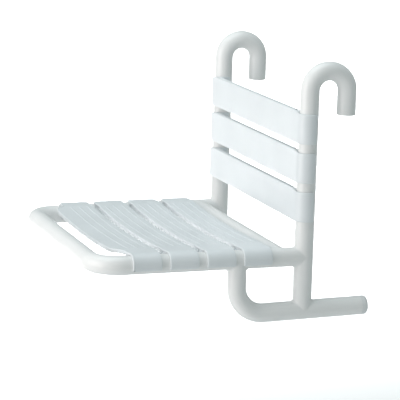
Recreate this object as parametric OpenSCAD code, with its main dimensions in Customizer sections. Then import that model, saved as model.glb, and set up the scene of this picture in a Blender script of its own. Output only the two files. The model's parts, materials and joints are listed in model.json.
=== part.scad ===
// Hanging shower seat for a round wall rail.
// Two side frames of bent tube hook over the rail and lean on the wall below it. A U-shaped seat
// tube and a cross tube join them. Four dished slats make the seat, three flat ones the back.
// Each tube is a plastic sleeve on a steel core, and the tubes are bolted together from inside.
//
// Frame: the origin is on the rail's axis, midway between the hooks. +Z is up, +Y points into the
// wall and -Y is the way the sitter faces. All sizes are millimetres.

/* [Tube] */
// Outside diameter of every tube, and of the rail it hangs on
tube_d = 33; // [32:0.5:34]
// Wall of the plastic sleeve
sleeve_wall = 3; // [2.5:0.5:3.5]
// Wall of the steel core tube
core_wall = 2.5; // [2:0.5:3]

/* [Side frames] */
// Distance between the axes of the two side frames
frame_w = 450; // [430:5:500]
// Length of an upright, from the lower tube's axis to where the hook starts to bend
upright_h = 380; // [370:1:420]
// Lean of the uprights towards the wall, in degrees
upright_lean = 1.9; // [0:0.1:3]
// Bend radius of the hook, at the tube's axis
hook_r = 33.5; // [33.5:0.5:36]
// Straight length of the hook's free end
hook_end = 42; // [35:1:50]
// Distance from the rail's axis to the wall
rail_to_wall = 73; // [70:1:80]
// How far the front leg stands forward of the upright's foot
leg_forward = 118; // [112:1:122]
// Bend radius of the support tube, at its axis
support_bend_r = 47; // [40:1:50]

/* [Seat] */
// Height of the seat tube above the lower tube, along the upright
seat_rise = 94; // [92:1:110]
// Distance from the uprights' axes to the front tube's axis
seat_d = 366; // [362:1:380]
// Upward tilt of the seat towards the front, in degrees
seat_pitch = 1.2; // [0:0.1:2]
// Bend radius of the seat tube's corners, at its axis
corner_r = 45; // [42:1:50]
// Distance from the uprights' axes to the cross tube's axis
cross_back = 42.5; // [40:0.5:43]

/* [Slats] */
// Distance from one seat slat to the next
seat_slat_pitch = 65.5; // [65:0.5:67]
// Distance from one back slat to the next
back_slat_pitch = 67; // [65:0.5:68]
// Width of a slat's tabs, which wrap round the tubes
slat_w = 51; // [48:0.5:54]
// How far a slat's middle stands ahead of its tabs
plate_lead = 4; // [2:0.5:4]
// The same for the front seat slat, which is wider
front_plate_lead = 22; // [10:1:23]
// Thickness of a slat
slat_t = 4; // [3:0.5:4]
// Front edge of the rear seat slat's tabs, forward of the uprights' axes
rear_slat_front = 114; // [112:0.5:114]
// Dip of the seat's middle below its sides
seat_dish = 6; // [4:0.5:7]
// Depth of the front seat slat's front edge, which is turned down
front_edge_h = 7; // [5:0.5:10]
// Depth of the other seat slats' front edges, which fill the view into the gaps
seat_edge_h = 10; // [6:0.5:10]
// Depth of a back slat's top edge, which is turned back
back_edge_h = 9; // [5:0.5:12]
// Height of the lowest back slat's lower edge above the lower tube, along the upright
back_slat_low = 156.5; // [150:0.5:160]

/* [Hidden] */
$fn = 96;

slack = 0.1;                         // clearance between pieces that fit into one another
over = 1;                            // how far a cutter runs past what it cuts
far = 60;                            // length of a cutter that passes right through a tube

tube_r = tube_d / 2;
bore_r = tube_r - sleeve_wall;       // inside of the sleeve
core_r = bore_r - slack;             // outside of the steel core
core_bore_r = core_r - core_wall;    // inside of the steel core

side_x = frame_w / 2;
rail_y = upright_h * sin(upright_lean) + hook_r * cos(upright_lean);
rail_z = upright_h * cos(upright_lean) - hook_r * sin(upright_lean);
wall_y = rail_y + rail_to_wall;

cap_t = 4;                           // visible thickness of a hook's end cap
cap_edge_r = 1.5;
buffer_t = 12;                       // visible length of a wall buffer
buffer_edge_r = 6;
spigot_l = 14;                       // how far caps and buffers reach into the core
spigot_r = core_bore_r - slack;

bolt_r = 4;                          // M8 joint bolt
bolt_head_r = 6.5;
bolt_head_h = 5;
bolt_l = 24;                         // under the head
bolt_hole_r = bolt_r + slack;
washer_r = 7;
washer_seat = 7.6;                   // height of the washer's flat face from the tube's axis
access_r = 7.5;                      // hole through which a joint bolt goes in
plug_l = 17;                         // how far a plug or spigot reaches into its branch
saddle_gap = 0.3;                    // between a plug or washer and the curved wall it faces
stud_in = 9;                         // where a spigot's stud ends, from the tube's axis
set_screw_r = 3;
set_screw_z = tube_r + 9;            // place along the spigot
set_screw_in = 6;                    // ends of the set screw, from the branch's axis
set_screw_out = tube_r - 1;

slat_gap = slack;                    // between a slat and the tube it wraps
wrap_in_r = tube_r + slat_gap;
wrap_out_r = wrap_in_r + slat_t;
tuck = 0.05;                         // how far a slat's face lies below the top of its rings
wrap_drop = 25;                      // how far the wrap goes past the tube's widest point, degrees
clip_drop = 20;                      // the same for the clip on the tube's inner side
dish_x = 190;                        // half the length of a seat slat's sagging middle
dish_steps = 10;
plate_x = side_x - wrap_out_r - slack;  // half the length of a slat's wide middle
plate_corner = 1.2;                  // length of a plate's swept front corner, as a part of its lead
edge_t = 3;                          // wall of a slat's turned edge
seat_slats = 4;
back_slats = 3;

screw_r = 2;                         // slat fixing screw
screw_hole_r = screw_r + slack;
screw_head_r = 4;
screw_head_h = 2.4;
screw_reach = core_bore_r - 2;       // how near the tube's axis the screw's tip comes

plastic = [0.93, 0.94, 0.95];
slat_white = [0.88, 0.91, 0.93];
steel = [0.62, 0.63, 0.65];
zinc = [0.78, 0.78, 0.76];
buffer_white = [0.86, 0.87, 0.88];

// ---- places -------------------------------------------------------------------------------

// Moves a part built about an upright's foot into the part's own frame.
module in_frame() translate([0, -rail_y, -rail_z]) children();

// Puts children on the right side frame, or on the left one as a mirror image.
module right_side() in_frame() translate([side_x, 0, 0]) children();
module left_side() mirror([1, 0, 0]) right_side() children();
module both_sides() {
    right_side() children();
    left_side() children();
}

// Local frame along an upright: +Z up the tube, -Y to the front, h above the lower tube's axis.
module on_upright(h = 0) rotate([-upright_lean, 0, 0]) translate([0, 0, h]) children();

// Local frame of the seat: -Y forward along the side tubes, +Z out of the seat.
module on_seat(s = 0) on_upright(seat_rise) rotate([upright_lean - seat_pitch, 0, 0])
    translate([0, -s, 0]) children();

// Height of a point on the seat tube's axis above the upright's foot, and the leg's place on it.
seat_joint_y = seat_rise * sin(upright_lean);
seat_joint_z = seat_rise * cos(upright_lean);
leg_s = (leg_forward + seat_joint_y) / cos(seat_pitch);
leg_top_z = seat_joint_z + leg_s * sin(seat_pitch);

// ---- tube paths ---------------------------------------------------------------------------

// Straight tube along +Z.
module rod(r, l) cylinder(r = r, h = l);

// Quarter or half bend in the Y-Z plane about the X axis. Angle 0 points down, 90 to the wall.
module bend(r, bend_r, from, sweep) rotate([0, 90, 0]) rotate([0, 0, from])
    rotate_extrude(angle = sweep) translate([bend_r, 0]) circle(r);

// Upright and hook in the upright's frame. cut lengthens both open ends for a bore.
module hook_path(r, end_l, cut = 0) {
    translate([0, 0, -cut]) rod(r, upright_h + cut);
    translate([0, hook_r, upright_h]) bend(r, hook_r, 90, 180);
    translate([0, 2 * hook_r, upright_h - end_l - cut]) rod(r, end_l + cut);
}

// Support tube: along the floor of the frame from the wall, then up as the front leg.
module support_path(r, cut = 0) {
    run_front = -leg_forward + support_bend_r;
    run_back = wall_y - buffer_t;
    translate([0, run_front, 0]) rotate([-90, 0, 0]) rod(r, run_back - run_front + cut);
    translate([0, run_front, support_bend_r]) bend(r, support_bend_r, 270, 90);
    translate([0, -leg_forward, support_bend_r]) rod(r, leg_top_z - support_bend_r);
}

// U-shaped seat tube in the seat's frame, centred on the part's middle.
module seat_path(r) {
    straight = seat_d - corner_r;
    for (side = [-1, 1]) {
        translate([side * side_x, 0, 0]) rotate([90, 0, 0]) rod(r, straight);
        translate([side * (side_x - corner_r), -straight, 0]) rotate([0, 0, side > 0 ? 270 : 180])
            rotate_extrude(angle = 90) translate([corner_r, 0]) circle(r);
    }
    translate([corner_r - side_x, -seat_d, 0]) rotate([0, 90, 0]) rod(r, frame_w - 2 * corner_r);
}

module cross_path(r) translate([-side_x, -cross_back, 0]) rotate([0, 90, 0]) rod(r, frame_w);

// ---- joints -------------------------------------------------------------------------------

// Each joint's local frame has its origin on the axis of the tube that carries the branch and
// +Z along the branch. The carrying tube runs along the local Y axis.
module seat_joint() on_seat() rotate([90, 0, 0]) children();
module foot_joint() on_upright() children();
module leg_joint() translate([0, -leg_forward, leg_top_z]) rotate([180, 0, 0]) children();
module cross_joint() on_seat(cross_back) rotate([0, -90, 0]) children();

module bolt_hole() cylinder(r = bolt_hole_r, h = far / 2);
module access_hole(r = access_r) rotate([180, 0, 0]) cylinder(r = r, h = far / 2);

module joint_holes() {
    bolt_hole();
    access_hole();
}

// Steel plug in the end of a branch, coped to the tube that carries it.
module branch_plug() difference() {
    translate([0, 0, core_bore_r]) cylinder(r = spigot_r, h = tube_r + plug_l - core_bore_r);
    rotate([90, 0, 0]) translate([0, 0, -far / 2]) cylinder(r = tube_r + saddle_gap, h = far);
}

module joint_plug() difference() {
    branch_plug();
    bolt_hole();
}

module saddle_washer() difference() {
    intersection() {
        translate([0, 0, washer_seat]) cylinder(r = washer_r, h = core_bore_r);
        rotate([90, 0, 0]) translate([0, 0, -far / 2])
            cylinder(r = core_bore_r - saddle_gap, h = far);
    }
    bolt_hole();
}

module joint_bolt() {
    translate([0, 0, washer_seat - bolt_head_h])
        cylinder(r = bolt_head_r, h = bolt_head_h - slack / 2);
    translate([0, 0, washer_seat - over]) cylinder(r = bolt_r, h = bolt_l + over);
}

// Spigot with a threaded stud, for a branch that slides over it and is held by a set screw.
module spigot() difference() {
    union() {
        branch_plug();
        translate([0, 0, stud_in]) cylinder(r = bolt_r, h = tube_r + over - stud_in);
    }
    set_screw_hole();
}

module on_set_screw() translate([0, 0, set_screw_z]) rotate([0, -90, 0]) children();
module set_screw_hole() on_set_screw() translate([0, 0, set_screw_in - slack])
    cylinder(r = set_screw_r + slack, h = far);
module set_screw() on_set_screw() translate([0, 0, set_screw_in])
    cylinder(r = set_screw_r, h = set_screw_out - set_screw_in);

// Flush plastic button that closes an access hole.
module cover_cap() intersection() {
    access_hole(access_r - slack);
    rotate([90, 0, 0]) translate([0, 0, -far / 2]) difference() {
        cylinder(r = tube_r, h = far);
        translate([0, 0, -over]) cylinder(r = core_r, h = far + 2 * over);
    }
}

// Cutters in the shape of the tube that a branch meets.
module lower_tube_cut(r = tube_r + slack) translate([0, far, 0]) rotate([90, 0, 0])
    cylinder(r = r, h = 2 * far);
module upright_cut(r = tube_r + slack) on_upright(seat_rise - far) cylinder(r = r, h = 2 * far);
module side_tube_cut(r = tube_r + slack) on_seat(-over) rotate([90, 0, 0])
    cylinder(r = r, h = leg_s + far);

// ---- slats --------------------------------------------------------------------------------

// Places along the seat or up the back. Slat 1 is the front seat slat or the top back slat.
function seat_slat_front(i) = rear_slat_front + (seat_slats - i) * seat_slat_pitch;
function back_slat_base(i) = back_slat_low + (back_slats - i) * back_slat_pitch;

function dip(x, dish) = dish * (1 - pow(x / dish_x, 2));

// The slat's cross-section lies in X-Y here, with +Y out of its face, and runs along Z.
module at_tubes() for (side = [-1, 1]) translate([side * side_x, 0, 0])
    mirror([side < 0 ? 1 : 0, 0, 0]) children();

// Solid under a slat's face, or under its back, down to z_end.
module under_level(r, dish, z_end, l) linear_extrude(l) {
    x_end = side_x + over;
    sag = [for (i = [-dish_steps : dish_steps]) let (x = i * dish_x / dish_steps) [x, r - dip(x, dish)]];
    polygon(concat([[-x_end, r]], sag, [[x_end, r], [x_end, z_end], [-x_end, z_end]]));
}

// Opening at the bottom of the right tube, between the outer wrap and the inner clip.
module wrap_mouth(l) linear_extrude(l) {
    reach = 3 * wrap_out_r;
    polygon([[0, 0], [reach * cos(-wrap_drop), reach * sin(-wrap_drop)], [reach, -reach],
             [-reach, -reach], [reach * cos(180 + clip_drop), reach * sin(180 + clip_drop)]]);
}

// A plate that runs into a ring round each tube.
module slat_blank(dish, l) difference() {
    union() {
        under_level(wrap_out_r - tuck, dish, -over, l);
        at_tubes() cylinder(r = wrap_out_r, h = l);
    }
    translate([0, 0, -over]) {
        difference() {
            under_level(wrap_in_r, dish, -far, l + 2 * over);
            at_tubes() cylinder(r = wrap_out_r, h = l + 2 * over);
        }
        at_tubes() cylinder(r = wrap_in_r, h = l + 2 * over);
        at_tubes() wrap_mouth(l + 2 * over);
    }
}

// Plan of a slat's middle, with its front corners swept back to the tabs.
module plate_plan(lead) polygon([[-plate_x, -slat_w], [plate_x, -slat_w], [plate_x, 0],
    [plate_x - plate_corner * lead, lead], [plate_corner * lead - plate_x, lead], [-plate_x, 0]]);

// Plan of the turned edge, along the front of that middle.
module edge_plan(lead) {
    corner_x = plate_x - plate_corner * lead;
    polygon([[-plate_x, 0], [-corner_x, lead], [corner_x, lead], [plate_x, 0],
             [plate_x, -edge_t], [corner_x, lead - edge_t], [-corner_x, lead - edge_t],
             [-plate_x, -edge_t]]);
}

// Wall behind the front of a slat's middle, down to edge_h below its face.
module turned_edge(dish, lead, edge_h) intersection() {
    translate([0, lead, 0]) rotate([90, 0, 0]) difference() {
        under_level(wrap_in_r + tuck, dish, 0, slat_w);
        translate([0, 0, -over]) under_level(wrap_out_r - edge_h, dish, -over, slat_w + 2 * over);
    }
    translate([0, 0, -far]) linear_extrude(2 * far) edge_plan(lead);
}

// Whole slat in the tubes' local frame. Its tabs run from y = 0 to y = -slat_w, and its middle
// starts at y = lead.
module slat(dish, lead, edge_h) difference() {
    union() {
        intersection() {
            translate([0, lead, 0]) rotate([90, 0, 0]) slat_blank(dish, slat_w + lead);
            union() {
                translate([0, 0, -far]) linear_extrude(2 * far) plate_plan(lead);
                translate([-side_x - far, -slat_w, -far])
                    cube([frame_w + 2 * far, slat_w, 2 * far]);
            }
        }
        turned_edge(dish, lead, edge_h);
    }
    slat_screw_holes();
}

// Screws of one slat go in from the inner side of each tube.
module at_slat_screws() for (side = [-1, 1]) translate([side * side_x, -slat_w / 2, 0])
    rotate([0, -side * 90, 0]) children();
module slat_screw_holes() at_slat_screws() cylinder(r = screw_hole_r, h = far);
module slat_screws() at_slat_screws() {
    translate([0, 0, screw_reach]) cylinder(r = screw_r, h = wrap_out_r - screw_reach + over);
    translate([0, 0, wrap_out_r + slack / 2]) cylinder(r = screw_head_r, h = screw_head_h);
}

// The tabs' front edge is at y = 0 on the seat, and their top edge on the back.
module place_seat_slat(i) in_frame() on_seat(seat_slat_front(i)) mirror([0, 1, 0]) children();
module place_back_slat(i) in_frame() on_upright(back_slat_base(i) + slat_w)
    rotate([90, 0, 0]) children();

module seat_slat(i) color(slat_white) place_seat_slat(i) {
    if (i == 1) slat(seat_dish, front_plate_lead, front_edge_h);
    else slat(seat_dish, plate_lead, seat_edge_h);
}
module back_slat(i) color(slat_white) place_back_slat(i) slat(0, plate_lead, back_edge_h);

// ---- nodes --------------------------------------------------------------------------------

// Each tube is one path cut out of another, then coped and drilled, for the sleeve and the core
// alike.
module upright_tube(outer, inner) difference() {
    on_upright() difference() {
        hook_path(outer, hook_end - cap_t);
        hook_path(inner, hook_end - cap_t, over);
    }
    lower_tube_cut();
    seat_joint() joint_holes();
    for (i = [1 : back_slats]) on_upright(back_slat_base(i) + slat_w / 2)
        rotate([0, -90, 0]) cylinder(r = screw_hole_r, h = far);
}

module support_tube(outer, inner) difference() {
    support_path(outer);
    support_path(inner, over);
    side_tube_cut();
    foot_joint() joint_holes();
    leg_joint() set_screw_hole();
}

module seat_tube(outer, inner) difference() {
    in_frame() on_seat() seat_path(outer);
    in_frame() on_seat() seat_path(inner);
    both_sides() {
        upright_cut();
        leg_joint() bolt_hole();
        cross_joint() bolt_hole();
    }
    for (i = [1 : seat_slats]) place_seat_slat(i) slat_screw_holes();
}

module cross_member(outer, inner) difference() {
    in_frame() on_seat() cross_path(outer);
    in_frame() on_seat() cross_path(inner);
    both_sides() {
        side_tube_cut();
        cross_joint() set_screw_hole();
    }
}

module seat_frame() color(plastic) seat_tube(tube_r, bore_r);
module seat_frame_core() color(steel) seat_tube(core_r, core_bore_r);
module cross_tube() color(plastic) cross_member(tube_r, bore_r);
module cross_tube_core() color(steel) cross_member(core_r, core_bore_r);

module upright_left() color(plastic) left_side() upright_tube(tube_r, bore_r);
module upright_right() color(plastic) right_side() upright_tube(tube_r, bore_r);
module upright_core_left() color(steel) left_side() upright_tube(core_r, core_bore_r);
module upright_core_right() color(steel) right_side() upright_tube(core_r, core_bore_r);
module support_left() color(plastic) left_side() support_tube(tube_r, bore_r);
module support_right() color(plastic) right_side() support_tube(tube_r, bore_r);
module support_core_left() color(steel) left_side() support_tube(core_r, core_bore_r);
module support_core_right() color(steel) right_side() support_tube(core_r, core_bore_r);

// Round cap with a rounded rim and a spigot, its face at z = 0 and its spigot up.
module end_cap(t, edge_r) {
    rotate_extrude() union() {
        square([tube_r - edge_r, t]);
        translate([0, edge_r]) square([tube_r, t - edge_r]);
        translate([tube_r - edge_r, edge_r]) circle(edge_r);
    }
    translate([0, 0, t - over]) cylinder(r = spigot_r, h = spigot_l + over);
}

module hook_end_caps() color(plastic) both_sides()
    on_upright(upright_h - hook_end) translate([0, 2 * hook_r, 0])
        end_cap(cap_t - slack / 2, cap_edge_r);

module wall_buffer() translate([0, wall_y, 0]) rotate([90, 0, 0])
    end_cap(buffer_t - slack / 2, buffer_edge_r);

module wall_buffer_left() color(buffer_white) left_side() wall_buffer();
module wall_buffer_right() color(buffer_white) right_side() wall_buffer();

module at_bolted_joints() both_sides() {
    seat_joint() children();
    foot_joint() children();
}

module seat_joint_plugs() color(zinc) both_sides() seat_joint() joint_plug();
module upright_foot_plugs() color(zinc) both_sides() foot_joint() joint_plug();
module joint_saddle_washers() color(zinc) at_bolted_joints() saddle_washer();
module joint_bolts() color(steel) at_bolted_joints() joint_bolt();
module joint_cover_caps() color(plastic) at_bolted_joints() cover_cap();

module leg_spigots() color(zinc) both_sides() leg_joint() spigot();
module cross_tube_spigots() color(zinc) both_sides() cross_joint() spigot();
module spigot_set_screws() color(steel) both_sides() {
    leg_joint() set_screw();
    cross_joint() set_screw();
}

module seat_slat_screws() color(steel)
    for (i = [1 : seat_slats]) place_seat_slat(i) slat_screws();
module back_slat_screws() color(steel)
    for (i = [1 : back_slats]) place_back_slat(i) slat_screws();

upright_left();
upright_right();
upright_core_left();
upright_core_right();
support_left();
support_right();
support_core_left();
support_core_right();
seat_frame();
seat_frame_core();
cross_tube();
cross_tube_core();
seat_slat(1);  // seat_slat_1
seat_slat(2);  // seat_slat_2
seat_slat(3);  // seat_slat_3
seat_slat(4);  // seat_slat_4
back_slat(1);  // back_slat_1
back_slat(2);  // back_slat_2
back_slat(3);  // back_slat_3
hook_end_caps();
wall_buffer_left();
wall_buffer_right();
seat_joint_plugs();
upright_foot_plugs();
joint_saddle_washers();
joint_bolts();
joint_cover_caps();
leg_spigots();
cross_tube_spigots();
spigot_set_screws();
seat_slat_screws();
back_slat_screws();
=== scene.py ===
"""Looks of a slatted shower seat that hangs on a wall rail.

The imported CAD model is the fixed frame: metres, +Z up, +Y into the wall, -Y the way the sitter
faces, origin on the rail's axis midway between the hooks. The moulded slats and their screws are
rebuilt here as detailed meshes, and fillets are added where the tubes meet. All other pieces keep
their CAD shape and get their materials here.
"""
import json
import math

import bmesh
import bpy
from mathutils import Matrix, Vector
from mathutils.geometry import tessellate_polygon

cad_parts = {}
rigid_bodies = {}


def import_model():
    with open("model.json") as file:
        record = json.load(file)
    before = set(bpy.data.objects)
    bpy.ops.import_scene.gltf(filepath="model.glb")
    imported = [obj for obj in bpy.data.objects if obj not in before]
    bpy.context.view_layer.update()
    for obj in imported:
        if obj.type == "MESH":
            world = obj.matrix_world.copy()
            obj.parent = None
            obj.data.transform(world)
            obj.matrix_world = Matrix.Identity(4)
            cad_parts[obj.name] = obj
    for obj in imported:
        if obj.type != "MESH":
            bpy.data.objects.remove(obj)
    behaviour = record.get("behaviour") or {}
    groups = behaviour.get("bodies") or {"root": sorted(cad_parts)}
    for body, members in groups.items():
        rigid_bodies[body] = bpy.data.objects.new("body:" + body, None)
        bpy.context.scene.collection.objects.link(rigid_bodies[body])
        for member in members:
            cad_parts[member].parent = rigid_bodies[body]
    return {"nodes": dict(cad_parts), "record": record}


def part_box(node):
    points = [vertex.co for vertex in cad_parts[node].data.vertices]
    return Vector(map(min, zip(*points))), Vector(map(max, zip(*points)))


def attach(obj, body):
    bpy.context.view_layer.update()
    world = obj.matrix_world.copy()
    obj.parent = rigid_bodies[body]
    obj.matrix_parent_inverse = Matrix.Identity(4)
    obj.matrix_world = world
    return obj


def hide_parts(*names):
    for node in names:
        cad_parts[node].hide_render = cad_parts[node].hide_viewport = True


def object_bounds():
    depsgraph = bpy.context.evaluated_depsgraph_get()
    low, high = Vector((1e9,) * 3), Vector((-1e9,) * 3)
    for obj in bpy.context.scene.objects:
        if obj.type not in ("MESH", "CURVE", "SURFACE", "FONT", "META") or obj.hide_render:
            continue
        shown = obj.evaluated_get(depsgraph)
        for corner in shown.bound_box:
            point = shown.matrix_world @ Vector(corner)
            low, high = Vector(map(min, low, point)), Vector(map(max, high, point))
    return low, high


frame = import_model()
CAD_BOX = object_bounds()

MM = 0.001

# ---- what the CAD model says ---------------------------------------------------------------

LEAN = math.radians(1.9)             # the uprights lean this much towards the wall
PITCH = math.radians(1.2)            # the seat rises this much towards its front
SEAT_DEPTH = 366 * MM                # from the uprights' axes to the front tube's axis

CROSS_LOW, CROSS_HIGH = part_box("cross_tube")
TUBE_R = (CROSS_HIGH.y - CROSS_LOW.y) / 2
FRAME_LOW, FRAME_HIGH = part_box("seat_frame")
SIDE_X = FRAME_HIGH.x - TUBE_R       # axis of a side tube
FRONT_AXIS = Vector((0, FRAME_LOW.y + TUBE_R, FRAME_HIGH.z - TUBE_R))
HOOK_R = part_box("upright_right")[1].z - TUBE_R

# ---- slat sizes ----------------------------------------------------------------------------

SEAT_SLATS, BACK_SLATS = 4, 3        # numbered from the front edge, and from the top
RING_GAP = 0.1 * MM                  # left free beside a ring
WRAP_IN = TUBE_R + RING_GAP          # inside of the ring that grips a tube
SLAT_T = 4 * MM
WRAP_OUT = WRAP_IN + SLAT_T
WRAP_DROP = math.radians(25)         # the outer wrap passes the tube's widest point by this
CLIP_DROP = math.radians(20)         # and so does the clip on the inner side
MID_X = SIDE_X - WRAP_OUT - RING_GAP  # half length of the wide middle, between the tubes
TIP_ANGLE = math.asin(SLAT_T / 2 / (WRAP_IN + SLAT_T / 2))
PLATE_JOIN = math.radians(146)       # here the clip leaves the ring for the plate's underside
FILLET_END = 19.5 * MM               # the fillet there ends this far in from the tube's axis
FILLET_PULL = (14.3 * MM, 0.3 * MM)  # and is drawn to here, in from the axis and up
EDGE_R = 1.4 * MM                    # rounding of a slat's long edges

SLAT_W = 51 * MM                     # width of the tabs, and of the middle behind their front
DISH_X = 190 * MM                    # a seat slat's middle sags between these places
SEAT_DISH = 6 * MM
LEAD = 4 * MM                        # the middle stands ahead of the tabs by this
LEAD_SWEEP = (206 * MM, 236 * MM)    # and falls back to them between these
FRONT_LEAD = 22 * MM                 # the front slat's middle reaches further ahead
FRONT_SWEEP = (168 * MM, 204 * MM)
FRONT_FOLD = 4.2 * MM                # the rows ahead of the tabs close up to here at the sides
LIP_W, LIP_DROP = 3 * MM, 0.3 * MM   # the front edge rolls down over this width, this much
EDGE_T, EDGE_DRAFT = 3 * MM, 0.5 * MM  # wall of the turned front edge
EDGE_FADE = 4 * MM                   # the turned edge ends over this length
FRONT_EDGE_H, SEAT_EDGE_H, BACK_EDGE_H = 7 * MM, 10 * MM, 9 * MM  # depth of the turned edge

RIB_PITCH = 16 * MM
RIB_FIRST = 7.5 * MM                 # from the tabs' front edge to the first rib
RIB_COUNT = 3
RIB_W, RIB_H = 1.5 * MM, 0.85 * MM    # half width and height
RIB_END = 187 * MM                   # from the slat's middle to the end of its ribs
RIB_TAPER = 4 * MM
RIB_ROWS = (-1.4, -1, -0.7, -0.35, 0, 0.35, 0.7, 1, 1.4)  # of mesh across a rib, in half widths

# How finely a slat is meshed.
ARC_STEP = math.radians(6)
EDGE_STEPS, LIP_STEPS, AHEAD_STEPS, PLAIN_STEPS = 5, 3, 4, 6  # across it
COARSE_STEPS, FINE_STEPS, LAST_STEPS = 16, 28, 6              # along its half
FILLET_STEPS = 5


def seat_point(x, s, n):
    """Point x across, s forward of the uprights' axes and n above the seat tube's axis."""
    back = SEAT_DEPTH - s
    return Vector((x, FRONT_AXIS.y + back * math.cos(PITCH) + n * math.sin(PITCH),
                   FRONT_AXIS.z - back * math.sin(PITCH) + n * math.cos(PITCH)))


def upright_point(x, h, n):
    """Point x across, h above the hook's bend and n in front of the uprights' axes."""
    ahead = HOOK_R + n
    return Vector((x, h * math.sin(LEAN) - ahead * math.cos(LEAN),
                   h * math.cos(LEAN) + ahead * math.sin(LEAN)))


# ---- materials -----------------------------------------------------------------------------

NOISE_RANGE = (0.3, 0.7)             # nearly all of a noise texture's values
CLOUD_SCALE, GLOSS_SCALE = 14.0, 30.0
PEEL_DEPTH = 0.2 * MM
PLASTIC_IOR = 1.53
LINE_SCALE, LINE_DETAIL = 600.0, 4.0  # the lines that turning and drawing leave on steel
LINE_BUMP, LINE_DEPTH = 0.15, 0.1 * MM


def noise(tree, place, scale, detail=3.0):
    node = tree.nodes.new("ShaderNodeTexNoise")
    node.inputs["Scale"].default_value = scale
    node.inputs["Detail"].default_value = detail
    tree.links.new(place, node.inputs["Vector"])
    return node.outputs["Fac"]


def remap(tree, source, low, high):
    node = tree.nodes.new("ShaderNodeMapRange")
    node.inputs["From Min"].default_value = NOISE_RANGE[0]
    node.inputs["From Max"].default_value = NOISE_RANGE[1]
    node.inputs["To Min"].default_value = low
    node.inputs["To Max"].default_value = high
    tree.links.new(source, node.inputs["Value"])
    return node.outputs["Result"]


def tint(tree, source, dark, light):
    node = tree.nodes.new("ShaderNodeValToRGB")
    ramp = node.color_ramp
    ramp.elements[0].position, ramp.elements[1].position = NOISE_RANGE
    ramp.elements[0].color = (*dark, 1)
    ramp.elements[1].color = (*light, 1)
    tree.links.new(source, node.inputs["Fac"])
    return node.outputs["Color"]


def new_material(name):
    """A material, its nodes, its shader and the object's own coordinates."""
    material = bpy.data.materials.new(name)
    material.use_nodes = True
    tree = material.node_tree
    shader = tree.nodes["Principled BSDF"]
    coords = tree.nodes.new("ShaderNodeTexCoord")
    return material, tree, shader, coords.outputs["Object"]


def add_bump(tree, shader, height, strength, distance):
    bump = tree.nodes.new("ShaderNodeBump")
    bump.inputs["Strength"].default_value = strength
    bump.inputs["Distance"].default_value = distance
    tree.links.new(height, bump.inputs["Height"])
    tree.links.new(bump.outputs["Normal"], shader.inputs["Normal"])


def plastic(name, dark, light, rough, peel, peel_scale=900.0):
    """Moulded or extruded plastic: faint cloudiness, uneven gloss and orange peel."""
    material, tree, shader, place = new_material(name)
    cloud = noise(tree, place, CLOUD_SCALE)
    tree.links.new(tint(tree, cloud, dark, light), shader.inputs["Base Color"])
    gloss = noise(tree, place, GLOSS_SCALE, detail=1.0)
    tree.links.new(remap(tree, gloss, *rough), shader.inputs["Roughness"])
    grain = noise(tree, place, peel_scale, detail=2.0)
    add_bump(tree, shader, grain, peel, PEEL_DEPTH)
    shader.inputs["IOR"].default_value = PLASTIC_IOR
    return material


def metal(name, dark, light, rough, stretch):
    """Worked steel: fine lines round the piece, with uneven polish."""
    material, tree, shader, place = new_material(name)
    mapping = tree.nodes.new("ShaderNodeMapping")
    mapping.inputs["Scale"].default_value = stretch
    tree.links.new(place, mapping.inputs["Vector"])
    lines = noise(tree, mapping.outputs["Vector"], LINE_SCALE, LINE_DETAIL)
    tree.links.new(tint(tree, lines, dark, light), shader.inputs["Base Color"])
    tree.links.new(remap(tree, lines, *rough), shader.inputs["Roughness"])
    add_bump(tree, shader, lines, LINE_BUMP, LINE_DEPTH)
    shader.inputs["Metallic"].default_value = 1.0
    return material


MATERIALS = {
    "frame_sleeve": plastic("frame_sleeve_plastic",
                            dark=(0.825, 0.825, 0.82), light=(0.86, 0.86, 0.855),
                            rough=(0.31, 0.36), peel=0.02, peel_scale=400.0),
    "slat": plastic("slat_plastic",
                    dark=(0.75, 0.78, 0.80), light=(0.79, 0.82, 0.84),
                    rough=(0.30, 0.42), peel=0.06),
    "wall_buffer": plastic("wall_buffer_plastic",
                           dark=(0.72, 0.73, 0.735), light=(0.77, 0.78, 0.785),
                           rough=(0.45, 0.58), peel=0.25, peel_scale=500.0),
    "core_tube": metal("core_tube_steel",
                       dark=(0.42, 0.43, 0.45), light=(0.55, 0.56, 0.58),
                       rough=(0.30, 0.45), stretch=(1, 1, 0.1)),
    "joint_fitting": metal("joint_fitting_zinc",
                           dark=(0.62, 0.62, 0.59), light=(0.74, 0.74, 0.71),
                           rough=(0.28, 0.42), stretch=(1, 1, 1)),
    "fastener": metal("fastener_steel",
                      dark=(0.50, 0.51, 0.52), light=(0.62, 0.63, 0.64),
                      rough=(0.20, 0.32), stretch=(1, 0.2, 1)),
}


def dress_cad_nodes():
    for part in frame["record"]["subparts"]:
        node = frame["nodes"][part["node"]]
        node.data.materials.clear()
        node.data.materials.append(MATERIALS[part["material_slot"]])


def finish_piece(piece, slot, replaced):
    """Gives a new piece its material, its body and the CAD nodes that it stands for."""
    piece.data.materials.append(MATERIALS[slot])
    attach(piece, "root")
    if replaced:
        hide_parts(*replaced)


def mesh_piece(bm, name):
    """Turns a finished bmesh into a smooth-shaded object."""
    bmesh.ops.recalc_face_normals(bm, faces=bm.faces)
    for face in bm.faces:
        face.smooth = True
    mesh = bpy.data.meshes.new(name)
    bm.to_mesh(mesh)
    bm.free()
    piece = bpy.data.objects.new(name, mesh)
    bpy.context.scene.collection.objects.link(piece)
    return piece


# ---- slats ---------------------------------------------------------------------------------

def smooth(t):
    """Eases from 0 to 1 as t does, and stays there beyond them."""
    t = min(1.0, max(0.0, t))
    return t * t * (3 - 2 * t)


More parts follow.
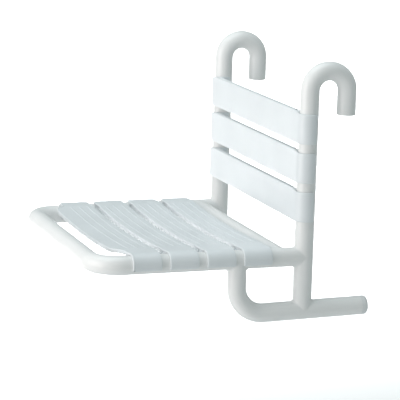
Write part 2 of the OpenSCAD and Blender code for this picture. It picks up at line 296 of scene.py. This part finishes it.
def arc(centre, radius, start, end):
    steps = max(2, round(abs(end - start) / ARC_STEP))
    angles = [start + (end - start) * i / steps for i in range(steps + 1)]
    return [(centre[0] + radius * math.cos(a), centre[1] + radius * math.sin(a)) for a in angles]


def bezier(start, control, end):
    points = []
    for i in range(1, FILLET_STEPS):
        t = i / FILLET_STEPS
        points.append(tuple((1 - t) ** 2 * p + 2 * t * (1 - t) * q + t * t * r
                            for p, q, r in zip(start, control, end)))
    return points


def plate_xs(end):
    """Stations along a plate, close together near its corners."""
    coarse = [i * FRONT_SWEEP[0] / COARSE_STEPS for i in range(COARSE_STEPS)]
    fine = [FRONT_SWEEP[0] + i * (MID_X - FRONT_SWEEP[0]) / FINE_STEPS
            for i in range(FINE_STEPS + 1)]
    past_corner = 0.1                # of a step, so that no two stations are in one place
    last = [MID_X + (i + past_corner) * (end - MID_X) / LAST_STEPS for i in range(LAST_STEPS)]
    return coarse + fine + last


def seat_top(x):
    """Height of a seat slat's face: a shallow sag between the side tubes."""
    return WRAP_OUT - SEAT_DISH * max(0.0, 1 - (x / DISH_X) ** 2)


def grip(start_angle):
    """Outline of the right-hand ring, from its outer side, round its tips, to its inner side."""
    centre = (SIDE_X, 0)
    mid_r = WRAP_IN + SLAT_T / 2
    outer_end = -WRAP_DROP + TIP_ANGLE
    inner_end = math.pi + CLIP_DROP - TIP_ANGLE
    outer_tip = (SIDE_X + mid_r * math.cos(outer_end), mid_r * math.sin(outer_end))
    inner_tip = (SIDE_X + mid_r * math.cos(inner_end), mid_r * math.sin(inner_end))
    points = arc(centre, WRAP_OUT, start_angle, outer_end)
    points += arc(outer_tip, SLAT_T / 2, outer_end, outer_end - math.pi)[1:]
    points += arc(centre, WRAP_IN, outer_end, inner_end)[1:]
    points += arc(inner_tip, SLAT_T / 2, inner_end + math.pi, inner_end)[1:]
    return points, inner_end


def with_underside(points, inner_end, top):
    """Closes a half outline: up the clip, through a fillet and along under the plate."""
    points += arc((SIDE_X, 0), WRAP_OUT, inner_end, PLATE_JOIN)[1:]
    meet_x = SIDE_X - FILLET_END
    meet = (meet_x, top(meet_x) - SLAT_T)
    pull = (SIDE_X - FILLET_PULL[0], meet[1] + FILLET_PULL[1])
    points += bezier(points[-1], pull, meet)
    under = [x for x in plate_xs(meet_x) if x <= meet_x]
    points += [(x, top(x) - SLAT_T) for x in reversed(under)]
    return points


def slat_outline(top):
    """Half of a slat's section: its face, the ring round the tube and its underside."""
    points = [(x, top(x)) for x in plate_xs(SIDE_X)]
    ring, inner_end = grip(math.pi / 2)
    return with_underside(points + ring, inner_end, top)


def full_outline(half):
    """Both halves as one closed loop, with the middle points once. Each point is (x, n)."""
    off_middle = MM / 10
    left = [(-x, n) for x, n in reversed(half) if x > off_middle]
    return half + left


def inward_normals(outline):
    normals = []
    count = len(outline)
    for i in range(count):
        before, after = outline[i - 1], outline[(i + 1) % count]
        along = Vector((after[0] - before[0], after[1] - before[1])).normalized()
        normals.append(Vector((along.y, -along.x)))
    return normals


def rib_shape(distance):
    """A rib's height this far from its middle line."""
    if abs(distance) >= RIB_W:
        return 0.0
    return RIB_H * math.cos(math.pi / 2 * distance / RIB_W) ** 2


class SlatForm:
    """Where a slat's edges are, and the relief on its face."""

    def __init__(self, lead, edge_h, ribs=False):
        self.lead = lead
        self.edge_drop = edge_h - SLAT_T
        self.ribs = []
        if ribs:
            self.ribs = [-RIB_FIRST - i * RIB_PITCH for i in range(RIB_COUNT)]
        self.wide = lead > LEAD

    def front(self, x):
        """How far the front edge stands ahead of the tabs' front edge."""
        near = min(self.lead, LEAD)
        start, end = LEAD_SWEEP
        ahead = near * (1 - smooth((abs(x) - start) / (end - start)))
        start, end = FRONT_SWEEP
        return ahead + (self.lead - near) * (1 - smooth((abs(x) - start) / (end - start)))

    def stations(self):
        """Rows across the slat: (kind, value), from the front edge to the rear one."""
        angles = [math.pi / 2 * i / EDGE_STEPS for i in range(EDGE_STEPS + 1)]
        edge = [EDGE_R * (1 - math.cos(a)) for a in angles]
        lip = [EDGE_R + (LIP_W - EDGE_R) * i / LIP_STEPS for i in range(1, LIP_STEPS + 1)]
        rows = [("front", a) for a in edge + lip + [EDGE_T + EDGE_DRAFT]]
        if self.wide:
            rows += [("ahead", FRONT_LEAD * i / AHEAD_STEPS)
                     for i in range(AHEAD_STEPS - 1, 0, -1)]
        if self.ribs:
            rows += [("fixed", r - RIB_W * k) for r in self.ribs for k in RIB_ROWS]
        else:
            rows += [("fixed", -SLAT_W * i / PLAIN_STEPS) for i in range(1, PLAIN_STEPS)]
        return rows + [("back", a) for a in reversed(edge)]

    def place(self, kind, value, x):
        """How far forward a row runs at x, from the tabs' front edge."""
        if kind == "front":
            return self.front(x) - value
        if kind == "back":
            return value - SLAT_W
        if kind == "ahead":
            room = (self.front(x) + FRONT_FOLD) / (self.lead + FRONT_FOLD)
            return -FRONT_FOLD + (value + FRONT_FOLD) * room
        return value

    def drop(self, kind, value, x):
        """How far the plate's back is lowered at a row, by the turned edge."""
        if kind != "front" or value > EDGE_T + EDGE_DRAFT / 2:
            return 0.0
        return self.edge_drop * smooth((MID_X - abs(x)) / EDGE_FADE)

    def relief(self, kind, value, x, s):
        """How far the face is pushed out at a point of the plate or the outer wrap."""
        height = 0.0
        ahead = self.front(x) - s
        if ahead < LIP_W:
            height -= LIP_DROP * (1 - ahead / LIP_W) ** 2
        if kind == "fixed":
            fade = smooth((RIB_END - abs(x)) / RIB_TAPER)
            height += fade * sum(rib_shape(value - r) for r in self.ribs)
        return height


def edge_inset(kind, value):
    """How far the outline draws in at a row, to round the long edges."""
    if kind not in ("front", "back") or value >= EDGE_R:
        return 0.0
    return EDGE_R - math.sqrt(EDGE_R ** 2 - (EDGE_R - value) ** 2)


def slat_mesh(name, half, form, locate, face_count):
    """Lofts an outline across a slat. face_count points of the half outline are on its face."""
    outline = full_outline(half)
    normals = inward_normals(outline)
    on_face = [i < face_count or i > len(outline) - face_count for i in range(len(outline))]
    bm = bmesh.new()
    rows = []
    for kind, value in form.stations():
        ring = []
        inset = edge_inset(kind, value)
        for (x, n), normal, face in zip(outline, normals, on_face):
            s = form.place(kind, value, x)
            push = form.relief(kind, value, x, s) if face else 0.0
            shift = inset - push
            drop = 0.0 if face else form.drop(kind, value, x)
            place = locate(x + normal.x * shift, s, n + normal.y * shift - drop)
            ring.append(bm.verts.new(place))
        rows.append(ring)
    count = len(outline)
    for near, far in zip(rows, rows[1:]):
        for i in range(count):
            j = (i + 1) % count
            bm.faces.new((near[i], near[j], far[j], far[i]))
    flat = [Vector((x + normal.x * EDGE_R, n + normal.y * EDGE_R, 0))
            for (x, n), normal in zip(outline, normals)]
    for ring in (rows[0], rows[-1]):
        for triangle in tessellate_polygon([flat]):
            bm.faces.new([ring[i] for i in triangle])
    return mesh_piece(bm, name)


def face_points():
    """How many points of a half outline lie on the plate's face and the outer wrap."""
    return len(plate_xs(SIDE_X)) + round((math.pi / 2 + WRAP_DROP - TIP_ANGLE) / ARC_STEP)


def seat_slats():
    half = slat_outline(seat_top)
    for number in range(1, SEAT_SLATS + 1):
        lead, edge_h = (FRONT_LEAD, FRONT_EDGE_H) if number == 1 else (LEAD, SEAT_EDGE_H)
        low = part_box(f"seat_slat_{number}")[0]
        front = SEAT_DEPTH - (low.y - FRONT_AXIS.y) / math.cos(PITCH) - lead
        form = SlatForm(lead, edge_h, ribs=True)

        def locate(x, s, n):
            return seat_point(x, front + s, n)

        piece = slat_mesh(f"seat_slat_{number}_moulding", half, form, locate, face_points())
        finish_piece(piece, "slat", [f"seat_slat_{number}"])


def back_slats():
    half = slat_outline(lambda x: WRAP_OUT)
    for number in range(1, BACK_SLATS + 1):
        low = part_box(f"back_slat_{number}")[0]
        lowest = HOOK_R - WRAP_OUT * math.sin(WRAP_DROP)
        base = (low.z - lowest * math.sin(LEAN)) / math.cos(LEAN)
        form = SlatForm(LEAD, BACK_EDGE_H)

        def locate(x, s, n):
            return upright_point(x, base + SLAT_W + s, n)

        piece = slat_mesh(f"back_slat_{number}_moulding", half, form, locate, face_points())
        finish_piece(piece, "slat", [f"back_slat_{number}"])


# ---- slat screws ---------------------------------------------------------------------------

SCREW_SIDES = 24
SCREW_R, THREAD_R, THREAD_PITCH = 2.0 * MM, 1.65 * MM, 0.8 * MM
PLAIN_SHANK = 3 * THREAD_PITCH       # left without thread under the head
SCREW_TIP, SCREW_SEAT = 8.9 * MM, WRAP_OUT + 0.05 * MM  # from the tube's axis
TIP_R = THREAD_R * 0.5
HEAD_R, HEAD_H, HEAD_EDGE = 4.0 * MM, 2.4 * MM, 0.7 * MM
HEAD_BEVEL = 0.2 * MM
DOME_STEPS = 6
SOCKET_ACROSS, SOCKET_DEPTH = 2.5 * MM, 1.5 * MM
SOCKET_BEVEL = 0.15 * MM
MOUTH_R = SOCKET_ACROSS * 0.66       # here the head's dome ends and the socket's bevel starts
DRILL_R, DRILL_DEPTH = 0.2 * MM, 0.4 * MM  # point of the cone at the socket's floor


def circle_ring(radius, height):
    turn = 2 * math.pi / SCREW_SIDES
    return [Vector((radius * math.cos(i * turn), radius * math.sin(i * turn), height))
            for i in range(SCREW_SIDES)]


def socket_ring(height):
    """A hexagon with as many points as the circles have."""
    turn = 2 * math.pi / SCREW_SIDES
    sector = math.pi / 3
    ring = []
    for i in range(SCREW_SIDES):
        off_flat = (i * turn + sector / 2) % sector - sector / 2
        radius = SOCKET_ACROSS / 2 / math.cos(off_flat)
        ring.append(Vector((radius * math.cos(i * turn), radius * math.sin(i * turn), height)))
    return ring


def screw_rings():
    """Rings of a pan-head socket screw, from its tip to the floor of its socket."""
    rings = [circle_ring(TIP_R, SCREW_TIP)]
    height = SCREW_TIP + THREAD_PITCH
    while height < SCREW_SEAT - PLAIN_SHANK:
        rings.append(circle_ring(THREAD_R, height))
        rings.append(circle_ring(SCREW_R, height + THREAD_PITCH / 2))
        height += THREAD_PITCH
    rings.append(circle_ring(SCREW_R, SCREW_SEAT))
    rings.append(circle_ring(HEAD_R - HEAD_BEVEL, SCREW_SEAT))
    rings.append(circle_ring(HEAD_R, SCREW_SEAT + HEAD_BEVEL))
    rings.append(circle_ring(HEAD_R, SCREW_SEAT + HEAD_EDGE))
    for i in range(1, DOME_STEPS + 1):
        angle = math.pi / 2 * i / DOME_STEPS
        radius = MOUTH_R + (HEAD_R - MOUTH_R) * math.cos(angle)
        rings.append(circle_ring(radius, SCREW_SEAT + HEAD_EDGE
                                 + (HEAD_H - HEAD_EDGE) * math.sin(angle)))
    top = SCREW_SEAT + HEAD_H
    rings.append(socket_ring(top - SOCKET_BEVEL))
    rings.append(socket_ring(top - SOCKET_DEPTH))
    rings.append(circle_ring(DRILL_R, top - SOCKET_DEPTH - DRILL_DEPTH))
    return rings


def screw_group(name, places, replaced):
    """Screws at (origin, axis) places: on a tube's axis, pointing out of it."""
    bm = bmesh.new()
    rings = screw_rings()
    for origin, axis in places:
        turn = axis.to_track_quat("Z", "Y")
        rows = [[bm.verts.new(origin + turn @ point) for point in ring] for ring in rings]
        for near, far in zip(rows, rows[1:]):
            for i in range(SCREW_SIDES):
                j = (i + 1) % SCREW_SIDES
                bm.faces.new((near[i], near[j], far[j], far[i]))
        bm.faces.new(rows[0])
        bm.faces.new(rows[-1])
    finish_piece(mesh_piece(bm, name), "fastener", [replaced])


def slat_screw_place(slat, group, side):
    """On the tube's axis, at the middle of the slat's tab."""
    ring = [v.co for v in slat.data.vertices if abs(v.co.x) > SIDE_X + WRAP_OUT / 2]
    if group == "seat":
        front, back = min(c.y for c in ring), max(c.y for c in ring)
        along = SEAT_DEPTH - ((front + back) / 2 - FRONT_AXIS.y) / math.cos(PITCH)
        return seat_point(side * SIDE_X, along, 0)
    low, high = min(c.z for c in ring), max(c.z for c in ring)
    along = (low + high) / 2 / math.cos(LEAN) - HOOK_R * math.sin(LEAN)
    return upright_point(side * SIDE_X, along, 0)


def slat_screws():
    for group, count in (("seat", SEAT_SLATS), ("back", BACK_SLATS)):
        places = []
        for number in range(1, count + 1):
            slat = bpy.data.objects[f"{group}_slat_{number}_moulding"]
            for side in (-1, 1):
                places.append((slat_screw_place(slat, group, side), Vector((-side, 0, 0))))
        screw_group(f"{group}_slat_screws_turned", places, f"{group}_slat_screws")


# ---- joint beads ---------------------------------------------------------------------------

BEAD_R = 5 * MM                      # radius of the fillet where two tubes meet
BEAD_STEPS, BEAD_ARC = 48, 12        # round half a branch, and across the fillet
BEAD_MERGE = MM / 50


def bead_section(branch, main, across, over, angle):
    """Section of the fillet: from the branch round to the main tube, and back at the seam.

    A ball that rolls in the corner touches both tubes, so its centre is as far from either axis.
    """
    reach = TUBE_R + BEAD_R
    shrink = TUBE_R / reach
    out = (across * math.cos(angle) + over * math.sin(angle)) * reach
    slant = branch.dot(main)
    along = max(out.dot(main) / (1 - slant), -out.dot(main) / (1 + slant))
    centre = out + branch * along
    on_branch = branch * along + out * shrink
    foot = main * centre.dot(main)
    on_main = foot + (centre - foot) * shrink
    start, end = on_branch - centre, on_main - centre
    points = []
    for i in range(BEAD_ARC + 1):
        direction = start.lerp(end, i / BEAD_ARC)
        points.append(centre + direction.normalized() * BEAD_R)
    return points + [centre * shrink]


def joint_bead(name, origin, branch, main):
    """A fillet round a branch tube, in two halves, where its axis meets the main tube's."""
    across = branch.cross(main).normalized()
    over = across.cross(branch).normalized()
    bm = bmesh.new()
    for half in (0, math.pi):
        rows = []
        for i in range(BEAD_STEPS + 1):
            section = bead_section(branch, main, across, over, half + math.pi * i / BEAD_STEPS)
            rows.append([bm.verts.new(origin + point) for point in section])
        for near, far in zip(rows, rows[1:]):
            for i in range(len(near)):
                j = (i + 1) % len(near)
                bm.faces.new((near[i], near[j], far[j], far[i]))
            for i in (0, BEAD_ARC):
                bm.edges.get((near[i], far[i])).smooth = False
    bmesh.ops.remove_doubles(bm, verts=bm.verts, dist=BEAD_MERGE)
    finish_piece(mesh_piece(bm, name), "frame_sleeve", [])


def joint_beads():
    """At both sides: the seat tube's end, the upright's foot, the front leg and the cross tube."""
    low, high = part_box("support_right")
    leg_y, lower_z = low.y + TUBE_R, low.z + TUBE_R
    leg_s = SEAT_DEPTH - (leg_y - FRONT_AXIS.y) / math.cos(PITCH)
    cross_s = SEAT_DEPTH - ((CROSS_LOW.y + CROSS_HIGH.y) / 2 - FRONT_AXIS.y) / math.cos(PITCH)
    foot_h = (lower_z - HOOK_R * math.sin(LEAN)) / math.cos(LEAN)
    forward = seat_point(0, 1, 0) - seat_point(0, 0, 0)
    upward = upright_point(0, 1, 0) - upright_point(0, 0, 0)
    for side, hand in ((-1, "left"), (1, "right")):
        x = side * SIDE_X
        joint_bead(f"seat_joint_bead_{hand}", seat_point(x, 0, 0), forward, upward)
        joint_bead(f"foot_joint_bead_{hand}", upright_point(x, foot_h, 0), upward,
                   Vector((0, 1, 0)))
        joint_bead(f"leg_joint_bead_{hand}", seat_point(x, leg_s, 0), Vector((0, 0, -1)), forward)
        joint_bead(f"cross_joint_bead_{hand}", seat_point(x, cross_s, 0), Vector((-side, 0, 0)),
                   forward)


# ---- light, floor and camera ---------------------------------------------------------------

FLOOR_DROP = 0.6                     # the seat hangs this far above the floor
FLOOR_REACH = 30
AIR_COLOUR, AIR_STRENGTH = (0.88, 0.98, 0.97, 1), 0.41
BACKDROP_SPREAD = math.radians(50)   # narrow, so that it lights only the floor behind the seat

VIEW_AZIMUTH, VIEW_ELEVATION = math.radians(71.73), math.radians(11.21)
VIEW_DISTANCE = 4.043
VIEW_AIM = Vector((0, -0.1556, -0.2219))
LENS = 203.7
FAR_CLIP = 100


def soft_light(name, place, aim, size, power, colour):
    data = bpy.data.lights.new(name, "AREA")
    data.shape = "RECTANGLE"
    data.size, data.size_y = size
    data.energy = power
    data.color = colour
    light = bpy.data.objects.new(name, data)
    bpy.context.scene.collection.objects.link(light)
    light.location = place
    light.rotation_euler = (Vector(aim) - Vector(place)).to_track_quat("-Z", "Y").to_euler()
    return light


def studio():
    scene = bpy.context.scene
    scene.view_settings.view_transform = "Standard"
    world = bpy.data.worlds.new("studio_air")
    scene.world = world
    world.use_nodes = True
    background = world.node_tree.nodes["Background"]
    background.inputs["Color"].default_value = AIR_COLOUR
    background.inputs["Strength"].default_value = AIR_STRENGTH
    centre = (CAD_BOX[0] + CAD_BOX[1]) / 2
    soft_light("key_light", place=(0.5, -3.2, 0.3), aim=centre, size=(2.4, 2.2), power=57,
               colour=(1.0, 0.945, 0.925))
    soft_light("top_light", place=(0.0, -0.6, 2.6), aim=centre, size=(2.4, 2.4), power=41,
               colour=(0.90, 0.97, 1.0))
    backdrop = soft_light("backdrop_light", place=(-6.9, 2.2, 3.0), aim=(-6.9, 2.2, 0),
                          size=(10, 8), power=640, colour=(1, 1, 1))
    backdrop.data.spread = BACKDROP_SPREAD
    lay_floor()


def lay_floor():
    bm = bmesh.new()
    bmesh.ops.create_grid(bm, x_segments=8, y_segments=8, size=FLOOR_REACH)
    mesh = bpy.data.meshes.new("floor")
    bm.to_mesh(mesh)
    bm.free()
    floor = bpy.data.objects.new("floor", mesh)
    bpy.context.scene.collection.objects.link(floor)
    floor.location = (0, 0, CAD_BOX[0].z - FLOOR_DROP)
    material, tree, shader, place = new_material("floor_paint")
    cloud = noise(tree, place, scale=1.5)
    colour = tint(tree, cloud, dark=(0.86, 0.87, 0.875), light=(0.88, 0.885, 0.89))
    tree.links.new(colour, shader.inputs["Base Color"])
    shader.inputs["Roughness"].default_value = 0.9
    mesh.materials.append(material)


def camera():
    """A long lens, looking down a little from the seat's right and front."""
    level = math.cos(VIEW_ELEVATION)
    back = Vector((math.sin(VIEW_AZIMUTH) * level, -math.cos(VIEW_AZIMUTH) * level,
                   math.sin(VIEW_ELEVATION)))
    data = bpy.data.cameras.new("camera")
    data.lens = LENS
    data.clip_end = FAR_CLIP
    cam = bpy.data.objects.new("camera", data)
    bpy.context.scene.collection.objects.link(cam)
    cam.location = VIEW_AIM + back * VIEW_DISTANCE
    cam.rotation_euler = (-back).to_track_quat("-Z", "Y").to_euler()
    bpy.context.scene.camera = cam


dress_cad_nodes()
seat_slats()
back_slats()
slat_screws()
joint_beads()
studio()
camera()
